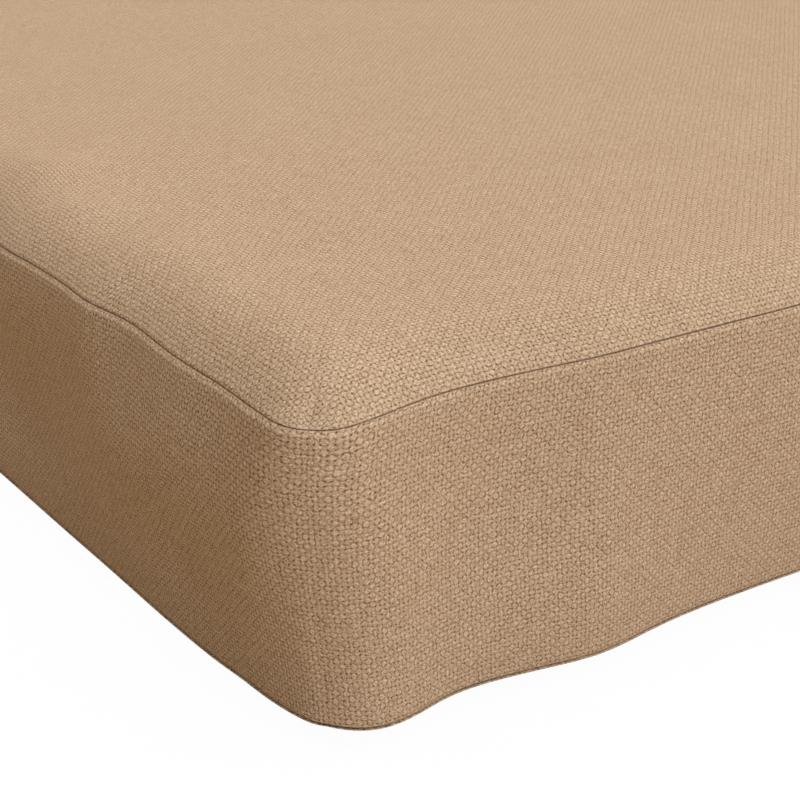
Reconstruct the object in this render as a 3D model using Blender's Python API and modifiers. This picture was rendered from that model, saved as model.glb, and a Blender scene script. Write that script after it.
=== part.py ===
"""Bench cushion: a long boxed seat cushion, sewn from two panels and a boxing strip round the sides.

Metres, +Z up. The origin lies under the middle of the cushion, on the surface that it rests on.
+X runs along the length, and -Y is the front edge. Each sewn piece is a filled solid, and the three
of them make up the filled cushion, parted only along its two seams.
"""

import math

import bmesh
import bpy
from mathutils import Matrix, Vector

# Driving dimensions of the cushion
LENGTH = 1.220
DEPTH = 0.508
BASE_SEAM_HEIGHT = 0.0048
BAND_HEIGHT = 0.064
SEAM_GAP = 0.0003

# How the filling swells each piece
EDGE_ROLL_HEIGHT = 0.0066
EDGE_ROLL_WIDTH = 0.034
EDGE_ROLL_POWER = 2.2
CROWN_HEIGHT = 0.0030
BASE_ROLL_WIDTH = 0.030
BAND_SWELL = 0.0022

# Rounding of the four corners, seen from above
TOP_CORNER_RADIUS = 0.013
BASE_CORNER_RADIUS = 0.024

# How the sides are drawn in between the corners, which stand out like ears
CORNER_EAR_LENGTH = 0.050
CORNER_DRAW_IN = 0.0024
MIDDLE_DRAW_IN = 0.0050

# Slow waves of the sewn edges: (height, wavelength, shift along the edge)
EDGE_WAVES = (
    (0.0011, 0.232, 0.060),
    (0.0007, 0.158, 0.021),
)
# Where the waves start on each side, and how far they lean from the base seam to the top seam
FRONT_PHASE = 0.0
BACK_PHASE = 0.11
LEFT_PHASE = 0.07
RIGHT_PHASE = 0.16
WAVE_LEAN = 0.04

# Cage lines: close together at the edges, then even
EDGE_STEPS = (0.006, 0.019, 0.042)
CAGE_PITCH = 0.054
PANEL_LIP = 0.0014
BAND_LEVELS = (0.06, 0.35, 0.72, 0.94)

CLOTH_COLOUR = (0.546, 0.376, 0.250, 1.0)
CLOTH_ROUGHNESS = 0.92
BOXING_SHADE = 0.94
BOTTOM_SHADE = 0.97

TOLERANCE = 1e-5
HALF_LENGTH = LENGTH / 2
HALF_DEPTH = DEPTH / 2
TOP_SEAM_HEIGHT = BASE_SEAM_HEIGHT + BAND_HEIGHT


def clear_scene():
    """Removes what the open file holds."""
    for item in list(bpy.data.objects):
        bpy.data.objects.remove(item, do_unlink=True)


def smooth(value):
    """Eases 0 to 1, held at both ends."""
    value = min(max(value, 0.0), 1.0)
    return value * value * (3.0 - 2.0 * value)


def even_lines(half):
    """Cage lines from one edge to the other: the edge steps at each end, and even lines between."""
    reach = half - EDGE_STEPS[-1]
    count = math.ceil(2 * reach / CAGE_PITCH)
    middle = [reach * (2 * n / count - 1) for n in range(1, count)]
    ends = [half - step for step in EDGE_STEPS]
    return [-end for end in ends] + middle + ends[::-1]


def draw_in(along, half_along, phase):
    """How far a side is pulled in, at a distance along it from its middle."""
    from_corner = half_along - abs(along)
    ear = smooth(from_corner / CORNER_EAR_LENGTH)
    middle = math.cos(math.pi / 2 * along / half_along) ** 2
    wave = sum(
        height * math.sin(2 * math.pi * (along + shift + phase) / wavelength)
        for height, wavelength, shift in EDGE_WAVES
    )
    return ear * (CORNER_DRAW_IN + MIDDLE_DRAW_IN * middle + wave)


def round_corner(x, y, radius):
    """Bends the square corner of the cage into an arc, ring by ring."""
    over_x = abs(x) - (HALF_LENGTH - radius)
    over_y = abs(y) - (HALF_DEPTH - radius)
    if over_x <= 0 or over_y <= 0:
        return x, y
    reach = max(over_x, over_y) / math.hypot(over_x, over_y)
    return (
        math.copysign(HALF_LENGTH - radius + over_x * reach, x),
        math.copysign(HALF_DEPTH - radius + over_y * reach, y),
    )


def in_plan(x, y, level, swell=0.0):
    """Where a cage point lies in plan. Level runs from 0 at the base seam to 1 at the top seam."""
    radius = BASE_CORNER_RADIUS + (TOP_CORNER_RADIUS - BASE_CORNER_RADIUS) * smooth(level)
    lean = WAVE_LEAN * level
    long_side = BACK_PHASE if y > 0 else FRONT_PHASE
    short_side = RIGHT_PHASE if x > 0 else LEFT_PHASE
    pull_y = draw_in(x, HALF_LENGTH, long_side + lean) - swell
    pull_x = draw_in(y, HALF_DEPTH, short_side + lean) - swell
    x, y = round_corner(x, y, radius)
    return x * (1 - pull_x / HALF_LENGTH), y * (1 - pull_y / HALF_DEPTH)


def from_edge(x, y):
    """Distance of a cage point from the nearest edge of the cushion."""
    return max(min(HALF_LENGTH - abs(x), HALF_DEPTH - abs(y)), 0.0)


def panel_rise(x, y):
    """Height of the top panel over its seam: a rolled edge, then a slow crown."""
    edge = min(from_edge(x, y) / EDGE_ROLL_WIDTH, 1.0)
    roll = math.sqrt(1 - (1 - edge) ** EDGE_ROLL_POWER)
    crown = math.cos(math.pi / 2 * x / HALF_LENGTH) * math.cos(math.pi / 2 * y / HALF_DEPTH)
    return EDGE_ROLL_HEIGHT * roll + CROWN_HEIGHT * math.sqrt(max(crown, 0.0))


def cage_box(low, high, levels=()):
    """A box of the cushion's length and depth, cut along the cage lines."""
    mesh = bmesh.new()
    place = Matrix.Translation((0, 0, (low + high) / 2))
    size = Matrix.Diagonal((LENGTH, DEPTH, high - low, 1))
    bmesh.ops.create_cube(mesh, size=1, matrix=place @ size)
    cuts = [((x, 0, 0), (1, 0, 0)) for x in even_lines(HALF_LENGTH)]
    cuts += [((0, y, 0), (0, 1, 0)) for y in even_lines(HALF_DEPTH)]
    cuts += [((0, 0, z), (0, 0, 1)) for z in levels]
    for point, normal in cuts:
        geometry = mesh.verts[:] + mesh.edges[:] + mesh.faces[:]
        bmesh.ops.bisect_plane(mesh, geom=geometry, plane_co=point, plane_no=normal)
    return mesh


def merge_flat(mesh, height, inside=-1.0):
    """Turns the flat grid at one height, further in than a distance, into one face."""
    flat = [
        face
        for face in mesh.faces
        if all(abs(v.co.z - height) < TOLERANCE for v in face.verts)
        and all(from_edge(v.co.x, v.co.y) > inside for v in face.verts)
    ]
    bmesh.ops.dissolve_faces(mesh, faces=flat, use_verts=True)


def sharpen(mesh, height, inset=0.0):
    """Keeps one ring of edges crisp when the cage is smoothed: at a height, and so far in."""
    layers = mesh.edges.layers.float
    crease = layers.get("crease_edge") or layers.new("crease_edge")
    for edge in mesh.edges:
        level = all(abs(v.co.z - height) < TOLERANCE for v in edge.verts)
        on_ring = all(abs(from_edge(v.co.x, v.co.y) - inset) < TOLERANCE for v in edge.verts)
        if level and on_ring:
            edge[crease] = 1.0


def pin_corners(mesh, inset):
    """Keeps the four corners of one ring in place when the cage is smoothed."""
    pinned = mesh.verts.layers.float.new("crease_vert")
    for vert in mesh.verts:
        over_x = HALF_LENGTH - inset - abs(vert.co.x)
        over_y = HALF_DEPTH - inset - abs(vert.co.y)
        if max(abs(over_x), abs(over_y)) < TOLERANCE:
            vert[pinned] = 1.0


def cloth_material(name, shade):
    """Tan woven cloth, a little darker where a piece catches less light."""
    material = bpy.data.materials.new(name)
    material.use_nodes = True
    surface = material.node_tree.nodes["Principled BSDF"]
    red, green, blue, alpha = CLOTH_COLOUR
    surface.inputs["Base Color"].default_value = (red * shade, green * shade, blue * shade, alpha)
    surface.inputs["Roughness"].default_value = CLOTH_ROUGHNESS
    surface.inputs["Metallic"].default_value = 0.0
    return material


def add_piece(name, mesh, shade, collection):
    """Makes an object of a finished cage, smoothed once, with its own material."""
    data = bpy.data.meshes.new(name)
    mesh.to_mesh(data)
    mesh.free()
    data.shade_smooth()
    data.materials.append(cloth_material(name + "_cloth", shade))
    piece = bpy.data.objects.new(name, data)
    collection.objects.link(piece)
    smoothing = piece.modifiers.new("Smooth form", "SUBSURF")
    smoothing.levels = 1
    smoothing.render_levels = 1
    return piece


def top_panel(collection):
    """The crowned panel that is sat on."""
    low = TOP_SEAM_HEIGHT + SEAM_GAP / 2
    mesh = cage_box(low, low + PANEL_LIP)
    merge_flat(mesh, low)
    sharpen(mesh, low)
    for vert in mesh.verts:
        x, y, z = vert.co
        if z > low + PANEL_LIP / 2:
            z += panel_rise(x, y)
        vert.co = (*in_plan(x, y, 1.0), z)
    return add_piece("top_panel", mesh, 1.0, collection)


def boxing_strip(collection):
    """The band round the four sides, with the filling that it holds."""
    low = BASE_SEAM_HEIGHT + SEAM_GAP / 2
    high = TOP_SEAM_HEIGHT - SEAM_GAP / 2
    mesh = cage_box(low, high, [low + (high - low) * level for level in BAND_LEVELS])
    for seam in (low, high):
        merge_flat(mesh, seam)
        sharpen(mesh, seam)
    for vert in mesh.verts:
        level = (vert.co.z - low) / (high - low)
        swell = BAND_SWELL * math.sqrt(max(1 - (2 * level - 1) ** 4, 0.0))
        vert.co = (*in_plan(vert.co.x, vert.co.y, level, swell), vert.co.z)
    return add_piece("boxing_strip", mesh, BOXING_SHADE, collection)


def bottom_panel(collection):
    """The panel underneath: a level rectangle where it rests, rolled up to its seam at the edges."""
    high = BASE_SEAM_HEIGHT - SEAM_GAP / 2
    mesh = cage_box(0.0, high)
    merge_flat(mesh, high)
    merge_flat(mesh, 0.0, inside=EDGE_STEPS[-1] - TOLERANCE)
    sharpen(mesh, high)
    sharpen(mesh, 0.0, inset=EDGE_STEPS[-1])
    pin_corners(mesh, EDGE_STEPS[-1])
    for vert in mesh.verts:
        x, y, z = vert.co
        level_share = smooth(from_edge(x, y) / EDGE_STEPS[-1])
        if z < high / 2:
            edge = min(from_edge(x, y) / BASE_ROLL_WIDTH, 1.0)
            z = (high - PANEL_LIP) * (1 - edge) ** 2
        sewn = Vector((*in_plan(x, y, 0.0), z))
        vert.co = sewn.lerp(Vector((x, y, z)), level_share)
    return add_piece("bottom_panel", mesh, BOTTOM_SHADE, collection)


def main():
    clear_scene()
    collection = bpy.data.collections.new("bench_cushion")
    bpy.context.scene.collection.children.link(collection)
    for build_piece in (top_panel, boxing_strip, bottom_panel):
        build_piece(collection)


main()
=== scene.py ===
"""Bench cushion: its sewn cloth, its camera and its light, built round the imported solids.

Metres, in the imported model's frame: +X along the cushion, -Y towards the front, +Z up. The corner
at -X, -Y is the one that the camera looks at, and folds are placed by their distance from it.
"""

import math

import bpy
import numpy as np
from bpy.props import FloatProperty, FloatVectorProperty, PointerProperty
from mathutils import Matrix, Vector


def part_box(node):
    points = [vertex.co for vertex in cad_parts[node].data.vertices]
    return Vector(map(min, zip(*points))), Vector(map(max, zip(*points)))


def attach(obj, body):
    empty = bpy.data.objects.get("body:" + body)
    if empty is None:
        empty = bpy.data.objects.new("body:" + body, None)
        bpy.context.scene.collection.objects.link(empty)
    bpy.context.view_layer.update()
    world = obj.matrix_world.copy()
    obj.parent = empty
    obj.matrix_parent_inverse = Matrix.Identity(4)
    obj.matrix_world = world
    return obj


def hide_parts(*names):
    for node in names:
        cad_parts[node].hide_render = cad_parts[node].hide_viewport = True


bl_info = {
    "name": "Bench Cushion",
    "version": (1, 0, 0),
    "blender": (4, 5, 0),
    "location": "View3D > Sidebar > Cushion",
    "description": "Builds a boxed bench cushion in a coarse plain weave, with a plain stage",
    "category": "Object",
}

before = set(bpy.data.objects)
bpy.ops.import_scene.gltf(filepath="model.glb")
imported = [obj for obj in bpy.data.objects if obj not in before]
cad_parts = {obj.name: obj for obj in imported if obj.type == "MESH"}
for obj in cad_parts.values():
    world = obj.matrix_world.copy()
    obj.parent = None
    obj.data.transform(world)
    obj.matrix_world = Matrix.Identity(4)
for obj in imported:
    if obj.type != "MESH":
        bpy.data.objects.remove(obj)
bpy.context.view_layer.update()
TOP_PANEL_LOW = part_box("top_panel")[0].z
BOTTOM_PANEL_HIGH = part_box("bottom_panel")[1].z

CLOTH_MAP = "cloth"
BODY = "root"
MM = 0.001
FLOOR_SIZE = 40.0

# Half of the gap between two pieces at a seam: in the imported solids, and between the covers at the
# upper and the lower seam
CAD_HALF_GAP = 0.15 * MM
TOP_HALF_GAP = 0.03 * MM
BASE_HALF_GAP = 0.14 * MM

# Spacing of the panels' mesh lines: finest at the edges, and wider by this factor line after line
FINEST_STEP = 0.30 * MM
STEP_GROWTH = 1.10
WIDEST_STEP = 5.0 * MM

# Spacing of the boxing strip's mesh rows, which are finest at its two seams
FINEST_ROW = 0.12 * MM
ROW_GROWTH = 1.35
WIDEST_ROW = 2.2 * MM

# Points of the curve that a panel's edge follows, and of the rounded lip that it starts with
PROFILE_POINTS = 400
LIP_POINTS = 40

# Heights of the panels' rounded lips at their seams, as shares of the groove's depth
TOP_LIP = 0.6
BASE_LIP = 0.5

# How round the panels' edges are past their lips, where 1 is a straight slope
TOP_ROUNDNESS = 3
BASE_ROUNDNESS = 1.6

# Folds and dents of the boxing strip. Each is a soft trough (out < 0) or ridge (out > 0): side,
# distance from the near corner, height, half width, half height, and how far it stands out. Both
# heights are shares of the strip's: 0 is its base seam, and 1 its top seam. The rest is in mm.
FOLD_COLUMNS = ("side", "along", "level", "wide", "tall", "out")
FOLDS = (
    ("front", 12, 1.00, 7, 0.35, 1.0),
    ("front", 38, 1.00, 14, 0.35, -0.8),
    ("front", 84, 1.00, 16, 0.35, 0.7),
    ("front", 120, 1.00, 16, 0.35, 1.0),
    ("front", 46, 0.78, 18, 0.11, -0.6),
    ("front", 68, 0.55, 6, 0.32, 1.1),
    ("front", 54, 0.50, 12, 0.20, -1.8),
    ("front", 3, 0.00, 6, 0.35, 0.8),
    ("front", 14, 0.00, 9, 0.35, 2.9),
    ("front", 38, 0.00, 9, 0.60, -1.4),
    ("front", 70, 0.00, 11, 0.35, 2.5),
    ("front", 112, 0.00, 14, 0.35, -0.4),
    ("left", 20, 1.00, 12, 0.35, 1.1),
    ("left", 46, 1.00, 12, 0.35, 1.4),
    ("left", 86, 1.00, 8, 0.35, 2.3),
    ("left", 104, 1.00, 8, 0.35, 1.3),
    ("left", 128, 1.00, 12, 0.35, 2.8),
    ("left", 42, 0.70, 20, 0.16, 2.2),
    ("left", 66, 0.55, 10, 0.12, 1.8),
    ("left", 98, 0.70, 10, 0.12, -1.1),
    ("left", 126, 0.55, 20, 0.16, -3.2),
    ("left", 50, 0.25, 10, 0.16, -1.5),
    ("left", 134, 0.30, 18, 0.14, -2.8),
    ("left", 3, 0.00, 6, 0.35, 0.6),
    ("left", 12, 0.00, 12, 0.35, -0.5),
    ("left", 26, 0.00, 11, 0.35, -2.0),
    ("left", 84, 0.00, 22, 0.35, -0.6),
)

# Dents and ripples of the top panel's rolled edge: distance from the left and front sides, half
# length along X and along Y, and height, all in mm
RIPPLE_COLUMNS = ("x", "y", "along_x", "along_y", "up")
RIPPLES = (
    (22, 153, 7, 8, 1.7),
    (15, 121, 6, 5, 0.8),
    (16, 105, 6, 7, -0.6),
    (17, 84, 6, 8, 0.6),
    (14, 58, 6, 7, 0.4),
    (13, 30, 6, 8, 0.4),
)

# Slow waves of all four sides: height, wavelength and shift in mm. The two sides with folds of
# their own have no waves within the calm reach of the near corner.
WAVES = ((0.9, 232, 60), (0.6, 158, 21), (0.4, 97, 40))
CALM_REACH = 140 * MM

# Where the waves start on each side, and how far they lean from the base seam to the top seam, in
# metres
SIDE_SHIFT = {"front": 0.0, "right": 0.16, "back": 0.11, "left": 0.07}
WAVE_LEAN = 0.04

# How much of the form's swell each side has
SIDE_SWELL = {"front": 0.4, "right": 0.8, "back": 0.6, "left": 0.75}

# Roundness of the corners in plan, where 2 is an arc of a circle
CORNER_POWER = 2.05

# How fast the sides' shapes fade towards the middle of the cushion: the ends' and the long sides'
FADE_X = 6
FADE_Y = 4

# Yarns wander over this range, in pitches, as a noise of this scale, detail and roughness says
YARN_WANDER = 1.1
WANDER_SCALE = 160.0
WANDER_DETAIL = 3.0
WANDER_ROUGHNESS = 0.65

# The shade of a yarn: how fast it changes along the yarn, how far apart two yarns are in the noise
# that gives it, and where in that noise the warp and the weft lie
SHADE_PACE = 0.11
SHADE_STRIDE = 7.31
WARP_SEED = 3.7
WEFT_SEED = 19.1

# Scales of the noise that gives lumps, fibres, small patches and broad patches
LUMP_SCALE = 800.0
FIBRE_SCALE = 2600.0
PATCH_SCALE = 450.0
BROAD_SCALE = 34.0

# Warp beads and the weft between them, as ranges of the crossing wave, which runs from -1 to 1 and
# is made uneven by lumps
LUMPINESS = 0.32
BEAD_RANGE = (-0.35, 0.20)
BETWEEN_RANGE = (-0.35, -0.90)

# Pits at the crossings: how much fibres fray them, where they start and are deepest, and how open
# the least and the most open ones are. A pit is a hollow in the relief, and its darker colour is
# painted shade.
PIT_FRAY = 0.8
PIT_RANGE = (0.20, 0.56)
PIT_OPENNESS = (0.38, 1.05)

# Brightness of the cloth, and what each thing adds to it. The first four of the shares are also
# scaled by the cloth's unevenness. The powers turn brightness into red, green and blue, so that
# dark places are browner. The last two shares are painted highlight on the raised beads and on the
# weft, which leaves painted shade in the rims between them.
BRIGHTNESS = 0.81
YARN_SHARE = 0.9
FIBRE_SHARE = 7.0
PATCH_SHARE = 1.0
BROAD_SHARE = 0.25
BEAD_HIGHLIGHT = 0.26
WEFT_HIGHLIGHT = 0.16
TONE_POWERS = (0.8, 1.05, 1.35)

# Heights that make up the relief, as shares of its depth
BEAD_HEIGHT = 0.5
CREST_HEIGHT = 0.4
BETWEEN_HEIGHT = 0.35
PIT_HEIGHT = -0.42
FIBRE_HEIGHT = 0.2


class CushionForm(bpy.types.PropertyGroup):
    """Sizes of the sewn and filled form."""

    length: FloatProperty(
        name="Length",
        description="Length from corner to corner",
        default=1.220,
        unit="LENGTH",
    )
    depth: FloatProperty(
        name="Depth",
        description="Front to back, from corner to corner",
        default=0.508,
        unit="LENGTH",
    )
    base_seam: FloatProperty(
        name="Base seam",
        description="Height of the lower seam over the surface",
        default=BOTTOM_PANEL_HIGH + CAD_HALF_GAP,
        unit="LENGTH",
    )
    top_seam: FloatProperty(
        name="Top seam",
        description="Height of the upper seam over the surface",
        default=TOP_PANEL_LOW - CAD_HALF_GAP,
        unit="LENGTH",
    )
    roll_height: FloatProperty(
        name="Edge roll height",
        description="Rise of the top panel's rolled edge over its seam",
        default=8.0 * MM,
        unit="LENGTH",
    )
    roll_width: FloatProperty(
        name="Edge roll width",
        description="Width of the top panel's rolled edge",
        default=24 * MM,
        unit="LENGTH",
    )
    crown: FloatProperty(
        name="Crown",
        description="Further rise of the top panel towards its middle",
        default=3.0 * MM,
        unit="LENGTH",
    )
    swell: FloatProperty(
        name="Side swell",
        description="How far the filling pushes the boxing strip out between its seams",
        default=3.6 * MM,
        unit="LENGTH",
    )
    base_roll: FloatProperty(
        name="Base roll width",
        description="Width of the bottom panel's edge that is off the surface",
        default=30 * MM,
        unit="LENGTH",
    )
    top_radius: FloatProperty(
        name="Top corner radius",
        description="Corner radius at the upper seam",
        default=10 * MM,
        unit="LENGTH",
    )
    base_radius: FloatProperty(
        name="Base corner radius",
        description="Corner radius at the lower seam",
        default=30 * MM,
        unit="LENGTH",
    )
    belly_radius: FloatProperty(
        name="Belly radius",
        description="How much rounder a corner is half way up",
        default=7 * MM,
        unit="LENGTH",
    )
    draw_in: FloatProperty(
        name="Draw in",
        description="How far the sides pull in just past the corners",
        default=2.0 * MM,
        unit="LENGTH",
    )
    middle_draw_in: FloatProperty(
        name="Middle draw in",
        description="How much further the sides pull in at their middle",
        default=5.0 * MM,
        unit="LENGTH",
    )
    ear_length: FloatProperty(
        name="Corner length",
        description="How far along the side a corner stands out",
        default=34 * MM,
        unit="LENGTH",
    )
    groove: FloatProperty(
        name="Seam groove",
        description="Depth of the groove at the seams",
        default=0.42 * MM,
        unit="LENGTH",
    )
    seam_fold: FloatProperty(
        name="Seam fold",
        description="Height of the boxing's folded edge under the upper seam",
        default=1.3 * MM,
        unit="LENGTH",
    )
    base_fold: FloatProperty(
        name="Base fold",
        description="Height of the boxing's folded edge over the lower seam",
        default=1.2 * MM,
        unit="LENGTH",
    )
    seam_bulge: FloatProperty(
        name="Seam bulge",
        description="How far the boxing stands out beyond the top panel, just under its seam",
        default=0.9 * MM,
        unit="LENGTH",
    )


class ClothFinish(bpy.types.PropertyGroup):
    """Colours and yarns of the cloth."""

    pitch: FloatProperty(
        name="Yarn pitch",
        description="Distance from one yarn to the next",
        default=1.03 * MM,
        unit="LENGTH",
    )
    yarn: FloatVectorProperty(
        name="Yarn colour",
        description="Colour of the yarns where they lie on top",
        default=(0.467, 0.319, 0.200),
        subtype="COLOR",
        size=3,
    )
    # The pit colour is painted shade in the hollows between the yarns
    pit_and_shade: FloatVectorProperty(
        name="Pit shade colour",
        description="Colour between the yarns",
        default=(0.135, 0.066, 0.024),
        subtype="COLOR",
        size=3,
    )
    relief: FloatProperty(
        name="Relief",
        description="Depth of the weave's relief",
        default=0.17 * MM,
        unit="LENGTH",
    )
    unevenness: FloatProperty(
        name="Yarn unevenness",
        description="How much one yarn differs from the next in shade and thickness",
        default=0.35,
        subtype="FACTOR",
        min=0.0,
        max=1.0,
    )


class CushionStage(bpy.types.PropertyGroup):
    """Camera, floor and light."""

    camera_from_corner: FloatVectorProperty(
        name="Camera",
        description="Camera's place, from the near corner of the upper seam",
        default=(-0.1544, -0.2572, 0.1288),
        subtype="TRANSLATION",
        size=3,
    )
    camera_turn: FloatVectorProperty(
        name="Camera turn",
        description="Camera's rotation about X, Y and Z",
        default=(math.radians(67.7), 0.0, math.radians(-34.1)),
        subtype="EULER",
        size=3,
    )
    lens: FloatProperty(
        name="Lens",
        description="Focal length on a 36 mm sensor",
        default=85.0,
        unit="CAMERA",
    )
    key_strength: FloatProperty(
        name="Key light",
        description="Strength of the broad key light overhead",
        default=4.15,
    )
    key_direction: FloatVectorProperty(
        name="Key direction",
        description="Direction that the key light comes from",
        default=(0.37, 0.20, 0.91),
        subtype="DIRECTION",
        size=3,
    )
    key_softness: FloatProperty(
        name="Key softness",
        description="Angle that the key light spans",
        default=math.radians(124),
        subtype="ANGLE",
    )
    fill_strength: FloatProperty(
        name="Fill light",
        description="Strength of the low light from the front",
        default=2.33,
    )
    fill_colour: FloatVectorProperty(
        name="Fill colour",
        description="Colour of the fill light",
        default=(0.94, 1.07, 1.27),
        subtype="COLOR",
        size=3,
    )
    fill_direction: FloatVectorProperty(
        name="Fill direction",
        description="Direction that the fill light comes from",
        default=(-0.10, -1.0, 0.08),
        subtype="DIRECTION",
        size=3,
    )
    fill_softness: FloatProperty(
        name="Fill softness",
        description="Angle that the fill light spans",
        default=math.radians(30),
        subtype="ANGLE",
    )
    sky: FloatVectorProperty(
        name="Sky light",
        description="Even light from all round",
        default=(0.03, 0.03, 0.03),
        subtype="COLOR",
        size=3,
    )
    floor_glow: FloatProperty(
        name="Floor glow",
        description="How much of the floor's white is even, so that no shadow shows on it",
        default=0.97,
        subtype="FACTOR",
        min=0.0,
        max=1.0,
    )
    floor_shine: FloatVectorProperty(
        name="Floor shine",
        description="Even light that the floor throws on the cushion, in its shadow too",
        default=(0.22, 0.16, 0.09),
        subtype="COLOR",
        size=3,
    )
    floor_bounce: FloatVectorProperty(
        name="Floor bounce",
        description="Colour of the light that the floor throws back on the cushion",
        default=(0.37, 0.28, 0.168),
        subtype="COLOR",
        size=3,
    )


# ---------------------------------------------------------------- form


def smooth(value):
    """Eases 0 to 1, held at both ends."""
    value = np.clip(value, 0.0, 1.0)
    return value * value * (3.0 - 2.0 * value)


def hump(offset, half_width):
    """A soft hump of height 1 that fades over about two half widths."""
    return np.exp(-0.5 * (offset / half_width) ** 2)


def named_rows(columns, rows):
    """Rows of a table as dictionaries."""
    return [dict(zip(columns, row, strict=True)) for row in rows]


def mesh_lines(half):
    """Places of the mesh lines across the cushion, closest together at its two edges."""
    inset = [0.0]
    step = FINEST_STEP
    while step < WIDEST_STEP:
        inset.append(inset[-1] + step)
        step *= STEP_GROWTH
    reach = half - inset[-1]
    count = math.ceil(2 * reach / WIDEST_STEP)
    middle = np.linspace(-reach, reach, count + 1)[1:-1]
    ends = half - np.array(inset)
    return np.concatenate([-ends, middle, ends[::-1]])


def side_out(form, side, along, level):
    """How far a side stands out from its straight line, at a distance from the near corner."""
    length = form.length if side in ("front", "back") else form.depth
    to_corner = np.minimum(along, length - along)
    ear = smooth(to_corner / form.ear_length)
    middle = np.sin(np.pi * np.clip(along / length, 0, 1)) ** 2
    out = -ear * (form.draw_in + form.middle_draw_in * middle * length / form.length)
    out = out + form.swell * SIDE_SWELL[side] * 4 * level * (1 - level)
    near = side in ("front", "left")
    lively = smooth((along - CALM_REACH) / CALM_REACH) if near else 1.0
    place = along + SIDE_SHIFT[side] + WAVE_LEAN * level
    for height, wavelength, shift in WAVES:
        wave = np.sin(2 * np.pi * (place - shift * MM) / (wavelength * MM))
        out = out + lively * ear * height * MM * wave
    for fold in named_rows(FOLD_COLUMNS, FOLDS):
        if fold["side"] == side:
            across = hump(along - fold["along"] * MM, fold["wide"] * MM)
            up = hump(level - fold["level"], fold["tall"])
            out = out + fold["out"] * MM * across * up
    return out


def round_corner(half_x, half_y, x, y, radius):
    """Bends the square corners of a flat grid round, ring by ring, tightest half way round."""
    centre_x = half_x - radius
    centre_y = half_y - radius
    over_x = np.abs(x) - centre_x
    over_y = np.abs(y) - centre_y
    corner = (over_x > 0) & (over_y > 0)
    far_x = np.maximum(over_x, 1e-9)
    far_y = np.maximum(over_y, 1e-9)
    round_reach = (far_x**CORNER_POWER + far_y**CORNER_POWER) ** (1 / CORNER_POWER)
    reach = np.maximum(far_x, far_y) / round_reach
    round_x = np.copysign(centre_x + over_x * reach, x)
    round_y = np.copysign(centre_y + over_y * reach, y)
    return np.where(corner, round_x, x), np.where(corner, round_y, y)


def in_plan(form, x, y, level, out=0.0):
    """Where a point of the flat form lies in plan once it is sewn and filled."""
    half_length = form.length / 2
    half_depth = form.depth / 2
    along_x = x + half_length
    along_y = y + half_depth
    long_side = np.where(
        y > 0,
        side_out(form, "back", along_x, level),
        side_out(form, "front", along_x, level),
    )
    short_side = np.where(
        x > 0,
        side_out(form, "right", along_y, level),
        side_out(form, "left", along_y, level),
    )
    radius = form.base_radius + (form.top_radius - form.base_radius) * smooth(level)
    radius = radius + form.belly_radius * (1 - (2 * level - 1) ** 2)
    x, y = round_corner(half_length, half_depth, x, y, radius)
    near_x = np.abs(x / half_length) ** FADE_X
    near_y = np.abs(y / half_depth) ** FADE_Y
    x = x + np.sign(x) * near_x * (short_side + out)
    y = y + np.sign(y) * near_y * (long_side + out)
    return x, y


def along_curve(inward, height, distances):
    """Inward places and heights at distances along a section's curve, and the curve's length."""
    steps = np.hypot(np.diff(inward), np.diff(height))
    walked = np.concatenate([[0.0], np.cumsum(steps)])
    beyond = np.maximum(distances - walked[-1], 0.0)
    return (
        np.interp(distances, walked, inward) + beyond,
        np.interp(distances, walked, height),
        walked[-1],
    )


def edge_section(lip, width, rise, roundness, distances):
    """The edge of a panel, away from its seam: a rounded lip, and a roll that levels out."""
    turn = np.linspace(0, np.pi / 2, LIP_POINTS)
    lip_in = lip * (1 - np.sin(turn))
    lip_up = lip * (1 - np.cos(turn))
    share = np.linspace(0, 1, PROFILE_POINTS)[1:] ** 2
    roll_in = width * share
    roll_up = lip + rise * (1 - (1 - share) ** roundness)
    inward = np.concatenate([lip_in, roll_in])
    height = np.concatenate([lip_up, roll_up])
    return along_curve(inward, height, distances)


def top_section(form, distances):
    """The rolled edge of the top panel, from its seam inward and up."""
    lip = form.groove * TOP_LIP
    return edge_section(lip, form.roll_width, form.roll_height, TOP_ROUNDNESS, distances)


def bottom_section(form, distances):
    """The edge of the bottom panel, from its seam inward and down to the surface."""
    lip = form.groove * BASE_LIP
    return edge_section(lip, form.base_roll, form.base_seam - lip, BASE_ROUNDNESS, distances)


def panel_ripples(form, x, y):
    """Height of the top panel's dents and ripples."""
    from_left = x + form.length / 2
    from_front = y + form.depth / 2
    height = np.zeros_like(x)
    for ripple in named_rows(RIPPLE_COLUMNS, RIPPLES):
        along_x = hump(from_left - ripple["x"] * MM, ripple["along_x"] * MM)
        along_y = hump(from_front - ripple["y"] * MM, ripple["along_y"] * MM)
        height += ripple["up"] * MM * (along_x * along_y)
    return height


def make_object(name, places, faces, cloth):
    """A smooth mesh object from points, faces and each face corner's place on the flat cloth."""
    mesh = bpy.data.meshes.new(name)
    mesh.from_pydata(places.tolist(), [], faces)
    layer = mesh.uv_layers.new(name=CLOTH_MAP)
    layer.uv.foreach_set("vector", np.asarray(cloth, np.float32).ravel())
    mesh.validate()
    mesh.shade_smooth()
    made = bpy.data.objects.new(name, mesh)
    bpy.context.scene.collection.objects.link(made)
    return made


def grid_faces(columns, rows):
    """Corner numbers of a grid's faces, each as its four (column, row) pairs."""
    column, row = np.meshgrid(np.arange(columns - 1), np.arange(rows - 1), indexing="ij")
    corners = [(column, row), (column + 1, row), (column + 1, row + 1), (column, row + 1)]
    return np.stack([np.stack(pair, -1) for pair in corners], -2).reshape(-1, 4, 2)


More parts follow.
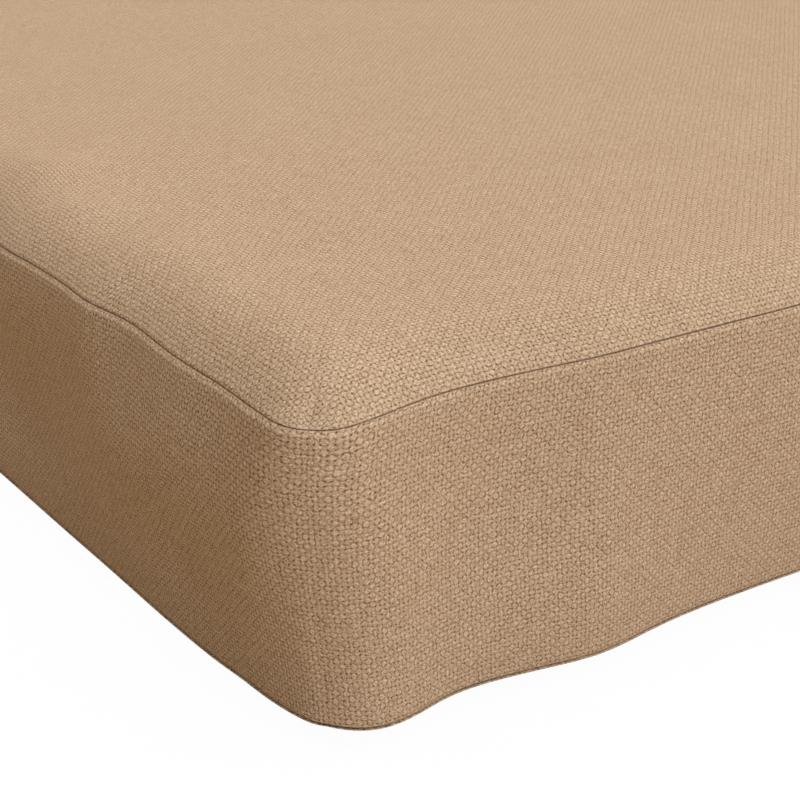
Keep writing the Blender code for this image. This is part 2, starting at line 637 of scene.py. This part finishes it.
def rim_numbers(columns, rows):
    """The outer points of a grid, once round from the far corner, where the strip's ends meet."""
    number = np.arange(columns * rows).reshape(columns, rows)
    sides = (number[:0:-1, -1], number[0, :0:-1], number[:-1, 0], number[-1, :-1])
    return np.concatenate(sides)


def build_panel(form, name, section, seam, upward, level):
    """A filled panel: a grid of cloth that swells from its seam, closed by a flat face inside."""
    # The flat cloth is larger than the panel by what it takes to climb the edge
    _, _, roll = section(form, np.zeros(1))
    spare = roll - (form.roll_width if upward > 0 else form.base_roll)
    half_x = form.length / 2 + spare
    half_y = form.depth / 2 + spare
    flat_x, flat_y = np.meshgrid(mesh_lines(half_x), mesh_lines(half_y), indexing="ij")
    in_x, up_x, _ = section(form, half_x - np.abs(flat_x))
    in_y, up_y, _ = section(form, half_y - np.abs(flat_y))
    x = np.copysign(form.length / 2 - in_x, flat_x)
    y = np.copysign(form.depth / 2 - in_y, flat_y)
    full = up_x.max()
    rise = full * (up_x / full) * (up_y / full)
    if upward > 0:
        bow = np.cos(np.pi * x / form.length) * np.cos(np.pi * y / form.depth)
        rise = rise + form.crown * np.sqrt(np.clip(bow, 0, 1))
        rise = rise + panel_ripples(form, x, y) * smooth(up_x * up_y / full**2)
    plan_x, plan_y = in_plan(form, x, y, level)
    gap = TOP_HALF_GAP if upward > 0 else BASE_HALF_GAP
    z = seam + upward * (gap + rise * (1 - gap / full))
    places = np.stack([plan_x, plan_y, z], -1).reshape(-1, 3)
    columns, rows = flat_x.shape
    corners = grid_faces(columns, rows)
    if upward < 0:
        corners = corners[:, ::-1]
    numbers = corners[..., 0] * rows + corners[..., 1]
    rim = rim_numbers(columns, rows)
    closing = rim[::-1] if upward > 0 else rim
    faces = numbers.tolist() + [closing.tolist()]
    radius = spare + (form.top_radius if upward > 0 else form.base_radius)
    flat = np.stack(round_corner(half_x, half_y, flat_x, flat_y, radius), -1).reshape(-1, 2)
    cloth = np.concatenate([flat[numbers.ravel()], flat[closing]])
    return make_object(name, places, faces, cloth)


def strip_levels(form):
    """Heights of the boxing strip's mesh rows, closest together at its two seams."""
    band = form.top_seam - TOP_HALF_GAP - form.base_seam - BASE_HALF_GAP
    rows = [0.0]
    step = FINEST_ROW
    while rows[-1] < band / 2 and step < WIDEST_ROW:
        rows.append(rows[-1] + step)
        step *= ROW_GROWTH
    reach = band - 2 * rows[-1]
    count = math.ceil(reach / WIDEST_ROW)
    middle = np.linspace(rows[-1], band - rows[-1], count + 1)[1:-1]
    low = np.array(rows)
    return np.concatenate([low, middle, band - low[::-1]])


def build_strip(form, name):
    """The boxing strip: a band round the four sides, folded in at both seams, closed inside."""
    flat_x, flat_y = np.meshgrid(
        mesh_lines(form.length / 2), mesh_lines(form.depth / 2), indexing="ij"
    )
    rim = rim_numbers(*flat_x.shape)
    rim_x = flat_x.ravel()[rim]
    rim_y = flat_y.ravel()[rim]
    heights = strip_levels(form)
    band = heights[-1]
    level = heights / band
    shape = (len(rim), len(heights))
    x = np.broadcast_to(rim_x[:, None], shape)
    y = np.broadcast_to(rim_y[:, None], shape)
    levels = np.broadcast_to(level[None], shape)

    # The strip's folded edges tuck in at both seams, and it bulges out under the upper one
    turn = np.maximum(1 - heights / form.base_fold, 1 - (band - heights) / form.seam_fold)
    turn = np.clip(turn, 0, 1)
    bulge = form.seam_bulge * level
    tuck = (form.groove + bulge) * (1 - np.sqrt(1 - turn**2))
    plan_x, plan_y = in_plan(form, x, y, levels, (bulge - tuck)[None])
    z = np.broadcast_to(form.base_seam + BASE_HALF_GAP + heights, shape)
    places = np.stack([plan_x, plan_y, z], -1)

    # Each point's place on the flat cloth: the way round the strip, and the way up it
    middle = places[:, len(heights) // 2]
    steps = np.linalg.norm(np.roll(middle, -1, 0) - middle, axis=1)
    walked = np.concatenate([[0.0], np.cumsum(steps)])
    climbed = np.cumsum(np.concatenate([[0.0], np.hypot(np.diff(heights), np.diff(tuck))]))
    corners = grid_faces(len(rim) + 1, len(heights))
    column, row = corners[..., 0], corners[..., 1]
    numbers = (column % len(rim)) * len(heights) + row
    low_rim = np.arange(len(rim)) * len(heights)
    high_rim = low_rim + len(heights) - 1
    faces = numbers.tolist() + [low_rim[::-1].tolist(), high_rim.tolist()]
    cloth = np.stack([walked[column], climbed[row]], -1).reshape(-1, 2)
    ends = np.concatenate([places[::-1, 0, :2], places[:, -1, :2]])
    return make_object(name, places.reshape(-1, 3), faces, np.concatenate([cloth, ends]))


# ---------------------------------------------------------------- finish


def feed(tree, socket, value):
    """Links a socket to another, or sets its value."""
    if isinstance(value, bpy.types.NodeSocket):
        tree.links.new(value, socket)
    else:
        socket.default_value = value


def math_node(tree, operation, *values):
    """The result of a math node."""
    node = tree.nodes.new("ShaderNodeMath")
    node.operation = operation
    for socket, value in zip(node.inputs, values):
        feed(tree, socket, value)
    return node.outputs[0]


def mix_colour(tree, share, first, second, blend="MIX"):
    """Mixes two colours."""
    node = tree.nodes.new("ShaderNodeMix")
    node.data_type = "RGBA"
    node.blend_type = blend
    feed(tree, node.inputs["Factor"], share)
    feed(tree, node.inputs[6], first)
    feed(tree, node.inputs[7], second)
    return node.outputs[2]


def noise(tree, place, scale, detail=2.0):
    """Noise from 0 to 1 at a place."""
    node = tree.nodes.new("ShaderNodeTexNoise")
    feed(tree, node.inputs["Vector"], place)
    node.inputs["Scale"].default_value = scale
    node.inputs["Detail"].default_value = detail
    return node.outputs["Fac"]


def span(tree, value, low, high, to_low=0.0, to_high=1.0, smooth_step=False):
    """Maps a value from one range to another, held at the ends."""
    node = tree.nodes.new("ShaderNodeMapRange")
    node.interpolation_type = "SMOOTHSTEP" if smooth_step else "LINEAR"
    for socket, given in zip(node.inputs, (value, low, high, to_low, to_high)):
        feed(tree, socket, given)
    return node.outputs[0]


def combine(tree, x, y, z=0.0):
    """A vector from three values."""
    node = tree.nodes.new("ShaderNodeCombineXYZ")
    for socket, value in zip(node.inputs, (x, y, z)):
        feed(tree, socket, value)
    return node.outputs[0]


def new_group(name, inputs, outputs):
    """An empty shader node group with named sockets."""
    tree = bpy.data.node_groups.new(name, "ShaderNodeTree")
    for label, kind, default in inputs:
        socket = tree.interface.new_socket(label, in_out="INPUT", socket_type=kind)
        if default is not None:
            socket.default_value = default
    for label, kind in outputs:
        tree.interface.new_socket(label, in_out="OUTPUT", socket_type=kind)
    start = tree.nodes.new("NodeGroupInput")
    end = tree.nodes.new("NodeGroupOutput")
    return tree, start, end


def weave_group():
    """Plain weave: each yarn passes over one and under the next, with pits at the crossings. Its
    colour has painted shade in the pits and the rims, and painted highlight on the beads and the
    weft.
    """
    name = "Plain Weave"
    if name in bpy.data.node_groups:
        return bpy.data.node_groups[name]
    tree, start, end = new_group(
        name,
        (
            ("Place", "NodeSocketVector", None),
            ("Pitch", "NodeSocketFloat", MM),
            ("Yarn Colour", "NodeSocketColor", None),
            ("Pit Shade Colour", "NodeSocketColor", None),
            ("Unevenness", "NodeSocketFloat", 0.3),
        ),
        (("Colour", "NodeSocketColor"), ("Height", "NodeSocketFloat")),
    )
    place = start.outputs["Place"]
    uneven = start.outputs["Unevenness"]
    split = tree.nodes.new("ShaderNodeSeparateXYZ")
    feed(tree, split.inputs[0], place)

    # Yarns are counted by their pitch, and wander a little from their straight lines
    drift = tree.nodes.new("ShaderNodeTexNoise")
    feed(tree, drift.inputs["Vector"], place)
    drift.inputs["Scale"].default_value = WANDER_SCALE
    drift.inputs["Detail"].default_value = WANDER_DETAIL
    drift.inputs["Roughness"].default_value = WANDER_ROUGHNESS
    drift_split = tree.nodes.new("ShaderNodeSeparateColor")
    feed(tree, drift_split.inputs[0], drift.outputs["Color"])

    def yarn_count(axis, wander):
        counted = math_node(tree, "DIVIDE", split.outputs[axis], start.outputs["Pitch"])
        offset = math_node(tree, "SUBTRACT", wander, 0.5)
        return math_node(tree, "MULTIPLY_ADD", offset, YARN_WANDER, counted)

    warp_count = yarn_count(0, drift_split.outputs[0])
    weft_count = yarn_count(1, drift_split.outputs[1])

    def wave(count):
        return math_node(tree, "SINE", math_node(tree, "MULTIPLY", count, math.pi))

    warp_wave = wave(warp_count)
    weft_wave = wave(weft_count)
    across_warp = math_node(tree, "ABSOLUTE", warp_wave)
    across_weft = math_node(tree, "ABSOLUTE", weft_wave)

    # Each yarn's own shade and thickness, changing slowly along it
    def yarn_shade(count, along, seed):
        line = math_node(tree, "FLOOR", count)
        slow = math_node(tree, "MULTIPLY", along, SHADE_PACE)
        spot = combine(tree, math_node(tree, "MULTIPLY", line, SHADE_STRIDE), slow, seed)
        return noise(tree, spot, 1.0, detail=3.0)

    warp_shade = yarn_shade(warp_count, weft_count, WARP_SEED)
    weft_shade = yarn_shade(weft_count, warp_count, WEFT_SEED)

    def unevenly(value, share):
        centred = math_node(tree, "SUBTRACT", value, 0.5)
        return math_node(tree, "MULTIPLY", centred, math_node(tree, "MULTIPLY", uneven, share))

    def cell_value(warps, wefts, offset):
        shifted = [
            math_node(tree, "FLOOR", math_node(tree, "ADD", count, offset))
            for count in (warps, wefts)
        ]
        white = tree.nodes.new("ShaderNodeTexWhiteNoise")
        white.noise_dimensions = "2D"
        feed(tree, white.inputs["Vector"], combine(tree, *shifted))
        return white.outputs["Value"]

    # Warp yarns stand up as uneven beads in every other cell. The weft shows lower down between
    # them, and pits part the corners. In the colour the pits are painted shade, and the beads and
    # the weft are painted lighter than the rims between them: painted highlight and painted shade.
    crossing = math_node(tree, "MULTIPLY", warp_wave, weft_wave)
    lumps = math_node(tree, "SUBTRACT", noise(tree, place, LUMP_SCALE), 0.5)
    swell = math_node(tree, "MULTIPLY_ADD", lumps, LUMPINESS, crossing)
    bead = span(tree, swell, *BEAD_RANGE, smooth_step=True)
    between = span(tree, swell, *BETWEEN_RANGE, smooth_step=True)
    crest = math_node(tree, "MAXIMUM", swell, 0.0)
    corner = math_node(
        tree,
        "MULTIPLY",
        math_node(tree, "SUBTRACT", 1.0, across_warp),
        math_node(tree, "SUBTRACT", 1.0, across_weft),
    )
    fibre = noise(tree, place, FIBRE_SCALE)
    loose = math_node(tree, "SUBTRACT", fibre, 0.5)
    frayed = math_node(tree, "MULTIPLY_ADD", loose, PIT_FRAY, corner)
    chance = cell_value(warp_count, weft_count, 0.5)
    openness = span(tree, chance, 0.0, 1.0, *PIT_OPENNESS)
    pit_and_shade = math_node(tree, "MULTIPLY", span(tree, frayed, *PIT_RANGE), openness)

    shade = tree.nodes.new("ShaderNodeMix")
    feed(tree, shade.inputs[0], bead)
    feed(tree, shade.inputs[2], weft_shade)
    feed(tree, shade.inputs[3], warp_shade)
    parts = (
        unevenly(shade.outputs[0], YARN_SHARE),
        unevenly(fibre, FIBRE_SHARE),
        unevenly(noise(tree, place, PATCH_SCALE), PATCH_SHARE),
        unevenly(noise(tree, place, BROAD_SCALE, detail=4.0), BROAD_SHARE),
        # Painted highlight on the beads and the weft, and so painted shade in the rims between them
        math_node(tree, "MULTIPLY", bead, BEAD_HIGHLIGHT),
        math_node(tree, "MULTIPLY", between, WEFT_HIGHLIGHT),
    )
    value = BRIGHTNESS
    for part in parts:
        value = math_node(tree, "ADD", value, part)
    # Painted shade: the cloth's colour turns towards the pit colour in the pits
    cloth = mix_colour(tree, pit_and_shade, start.outputs["Yarn Colour"], start.outputs["Pit Shade Colour"])
    deeper = [math_node(tree, "POWER", value, power) for power in TONE_POWERS]
    lit = mix_colour(tree, 1.0, cloth, combine(tree, *deeper), "MULTIPLY")
    tree.links.new(lit, end.inputs["Colour"])
    height = math_node(tree, "MULTIPLY", bead, BEAD_HEIGHT)
    rest = (
        (crest, CREST_HEIGHT),
        (between, BETWEEN_HEIGHT),
        (pit_and_shade, PIT_HEIGHT),
        (fibre, FIBRE_HEIGHT),
    )
    for part, share in rest:
        height = math_node(tree, "MULTIPLY_ADD", part, share, height)
    tree.links.new(height, end.inputs["Height"])
    return tree


def cloth_material(name, cloth):
    """Woven cloth for one piece."""
    material = bpy.data.materials.new(name)
    material.use_nodes = True
    tree = material.node_tree
    surface = tree.nodes["Principled BSDF"]
    surface.inputs["Roughness"].default_value = 0.92
    surface.inputs["Specular IOR Level"].default_value = 0.03
    surface.inputs["Sheen Weight"].default_value = 0.04
    surface.inputs["Sheen Roughness"].default_value = 0.45
    surface.inputs["Sheen Tint"].default_value = (1.0, 0.86, 0.68, 1.0)
    place = tree.nodes.new("ShaderNodeUVMap")
    place.uv_map = CLOTH_MAP
    weave = tree.nodes.new("ShaderNodeGroup")
    weave.node_tree = weave_group()
    tree.links.new(place.outputs[0], weave.inputs["Place"])
    weave.inputs["Pitch"].default_value = cloth.pitch
    weave.inputs["Yarn Colour"].default_value = (*cloth.yarn, 1.0)
    weave.inputs["Pit Shade Colour"].default_value = (*cloth.pit_and_shade, 1.0)
    weave.inputs["Unevenness"].default_value = cloth.unevenness
    bump = tree.nodes.new("ShaderNodeBump")
    bump.inputs["Strength"].default_value = 0.75
    bump.inputs["Distance"].default_value = cloth.relief
    tree.links.new(weave.outputs["Height"], bump.inputs["Height"])
    tree.links.new(weave.outputs["Colour"], surface.inputs["Base Color"])
    tree.links.new(bump.outputs[0], surface.inputs["Normal"])
    return material


def dress(piece, node, material):
    """Gives a piece its cloth, hangs it on the body, and hides the imported part that it replaces.
    """
    piece.data.materials.append(material)
    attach(piece, BODY)
    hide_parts(node)


# ---------------------------------------------------------------- operators


class CUSHION_OT_top_panel(bpy.types.Operator):
    """Builds the crowned top panel"""

    bl_idname = "cushion.top_panel"
    bl_label = "Top Panel"

    def execute(self, context):
        form = context.scene.cushion_form
        cloth = context.scene.cushion_cloth
        piece = build_panel(form, "top_cover", top_section, form.top_seam, 1, 1.0)
        material = cloth_material("Top cloth", cloth)
        dress(piece, "top_panel", material)
        return {"FINISHED"}


class CUSHION_OT_boxing_strip(bpy.types.Operator):
    """Builds the boxing strip round the sides"""

    bl_idname = "cushion.boxing_strip"
    bl_label = "Boxing Strip"

    def execute(self, context):
        form = context.scene.cushion_form
        cloth = context.scene.cushion_cloth
        piece = build_strip(form, "boxing_cover")
        material = cloth_material("Boxing cloth", cloth)
        dress(piece, "boxing_strip", material)
        return {"FINISHED"}


class CUSHION_OT_bottom_panel(bpy.types.Operator):
    """Builds the bottom panel, flat where it rests"""

    bl_idname = "cushion.bottom_panel"
    bl_label = "Bottom Panel"

    def execute(self, context):
        form = context.scene.cushion_form
        cloth = context.scene.cushion_cloth
        piece = build_panel(form, "bottom_cover", bottom_section, form.base_seam, -1, 0.0)
        material = cloth_material("Bottom cloth", cloth)
        dress(piece, "bottom_panel", material)
        return {"FINISHED"}


def floor_material(stage):
    """Pale floor. The camera sees it an even white, and it throws a softer, warmer light back."""
    material = bpy.data.materials.new("Pale floor")
    material.use_nodes = True
    tree = material.node_tree
    surface = tree.nodes["Principled BSDF"]
    surface.inputs["Roughness"].default_value = 1.0
    surface.inputs["Specular IOR Level"].default_value = 0.0
    surface.inputs["Emission Strength"].default_value = 1.0
    seen = tree.nodes.new("ShaderNodeLightPath").outputs["Is Camera Ray"]
    shaded = (1.0 - stage.floor_glow,) * 3 + (1.0,)
    glow = (stage.floor_glow,) * 3 + (1.0,)
    bounce = (*stage.floor_bounce, 1.0)
    tree.links.new(mix_colour(tree, seen, bounce, shaded), surface.inputs["Base Color"])
    shine = (*stage.floor_shine, 1.0)
    tree.links.new(mix_colour(tree, seen, shine, glow), surface.inputs["Emission Color"])
    return material


def sky_world(stage):
    """Faint even light from all round, in front of a background that the camera sees white."""
    world = bpy.data.worlds.new("Pale sky")
    world.use_nodes = True
    tree = world.node_tree
    seen = tree.nodes.new("ShaderNodeLightPath").outputs["Is Camera Ray"]
    colour = mix_colour(tree, seen, (*stage.sky, 1.0), (1.0, 1.0, 1.0, 1.0))
    tree.links.new(colour, tree.nodes["Background"].inputs["Color"])
    return world


def add_sun(scene, name, colour, strength, direction, softness):
    """A light from one direction, as soft as the angle that it spans."""
    light = bpy.data.lights.new(name, "SUN")
    light.color = colour
    light.energy = strength
    light.angle = softness
    placed = bpy.data.objects.new(name, light)
    placed.rotation_euler = direction.to_track_quat("Z", "Y").to_euler()
    scene.collection.objects.link(placed)


class CUSHION_OT_stage(bpy.types.Operator):
    """Builds the floor, the light and the camera"""

    bl_idname = "cushion.stage"
    bl_label = "Stage"

    def execute(self, context):
        scene = context.scene
        form = scene.cushion_form
        stage = scene.cushion_stage
        bpy.ops.mesh.primitive_plane_add(size=FLOOR_SIZE)
        floor = context.object
        floor.name = "floor"
        floor.data.materials.append(floor_material(stage))

        scene.world = sky_world(stage)
        add_sun(
            scene,
            "Key",
            colour=(1.0, 1.0, 1.0),
            strength=stage.key_strength,
            direction=stage.key_direction,
            softness=stage.key_softness,
        )
        add_sun(
            scene,
            "Fill",
            colour=stage.fill_colour,
            strength=stage.fill_strength,
            direction=stage.fill_direction,
            softness=stage.fill_softness,
        )

        camera = bpy.data.cameras.new("Camera")
        camera.lens = stage.lens
        camera.clip_start = 0.01
        camera_object = bpy.data.objects.new("Camera", camera)
        corner = (
            form.draw_in - form.length / 2,
            form.draw_in - form.depth / 2,
            form.top_seam,
        )
        camera_object.location = [a + b for a, b in zip(corner, stage.camera_from_corner)]
        camera_object.rotation_euler = stage.camera_turn
        scene.collection.objects.link(camera_object)
        scene.camera = camera_object
        scene.view_settings.view_transform = "Standard"
        return {"FINISHED"}


class VIEW3D_PT_bench_cushion(bpy.types.Panel):
    """Lists the cushion's sizes, cloth and steps in the sidebar"""

    bl_label = "Bench Cushion"
    bl_space_type = "VIEW_3D"
    bl_region_type = "UI"
    bl_category = "Cushion"

    def draw(self, context):
        layout = self.layout
        for settings in SETTINGS:
            group = getattr(context.scene, settings)
            box = layout.box()
            for name in group.bl_rna.properties.keys():
                if name not in ("rna_type", "name"):
                    box.prop(group, name)
        for step in STEPS:
            layout.operator(step.bl_idname)


SETTINGS = {
    "cushion_form": CushionForm,
    "cushion_cloth": ClothFinish,
    "cushion_stage": CushionStage,
}
STEPS = (
    CUSHION_OT_top_panel,
    CUSHION_OT_boxing_strip,
    CUSHION_OT_bottom_panel,
    CUSHION_OT_stage,
)
CLASSES = (*SETTINGS.values(), *STEPS, VIEW3D_PT_bench_cushion)


def register():
    for cls in CLASSES:
        bpy.utils.register_class(cls)
    for name, cls in SETTINGS.items():
        setattr(bpy.types.Scene, name, PointerProperty(type=cls))


def unregister():
    for name in SETTINGS:
        delattr(bpy.types.Scene, name)
    for cls in reversed(CLASSES):
        bpy.utils.unregister_class(cls)


def main():
    register()
    bpy.ops.cushion.stage()
    bpy.ops.cushion.top_panel()
    bpy.ops.cushion.boxing_strip()
    bpy.ops.cushion.bottom_panel()


if __name__ == "__main__":
    main()
